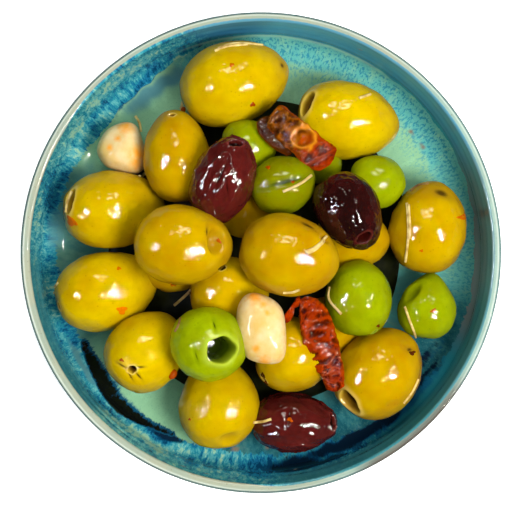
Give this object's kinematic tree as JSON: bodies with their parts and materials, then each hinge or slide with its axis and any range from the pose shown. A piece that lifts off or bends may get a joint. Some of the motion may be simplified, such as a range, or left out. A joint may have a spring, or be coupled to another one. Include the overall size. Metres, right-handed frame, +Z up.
{
  "type": "bowl of olives",
  "caption": "Round glazed stoneware bowl heaped with green, yellow-green and purple marinated olives, peeled garlic cloves and strips of dried tomato.",
  "frame": {"origin": "centre of the foot ring's bottom plane, on the surface that the bowl stands on", "axes": "+Z up along the bowl's axis; +Y towards the upper edge of the view from straight above, +X to its right"},
  "size_m": [0.152, 0.152, 0.0566],
  "materials": {
    "stoneware_glaze": "glossy reactive glaze",
    "olive_skin": "oily fruit skin",
    "green_olive_skin": "oily fruit skin",
    "purple_olive_skin": "oily fruit skin",
    "rosemary_leaf": "oiled leaf",
    "garlic_flesh": "moist flesh",
    "dried_tomato_skin": "oily wrinkled skin"
  },
  "bodies": {
    "root": {"bowl": "stoneware_glaze", "olive_heap": "olive_skin", "garlic_clove_1": "garlic_flesh", "garlic_clove_2": "garlic_flesh", "dried_tomato_1": "dried_tomato_skin", "dried_tomato_2": "dried_tomato_skin"}
  },
  "joints": []
}
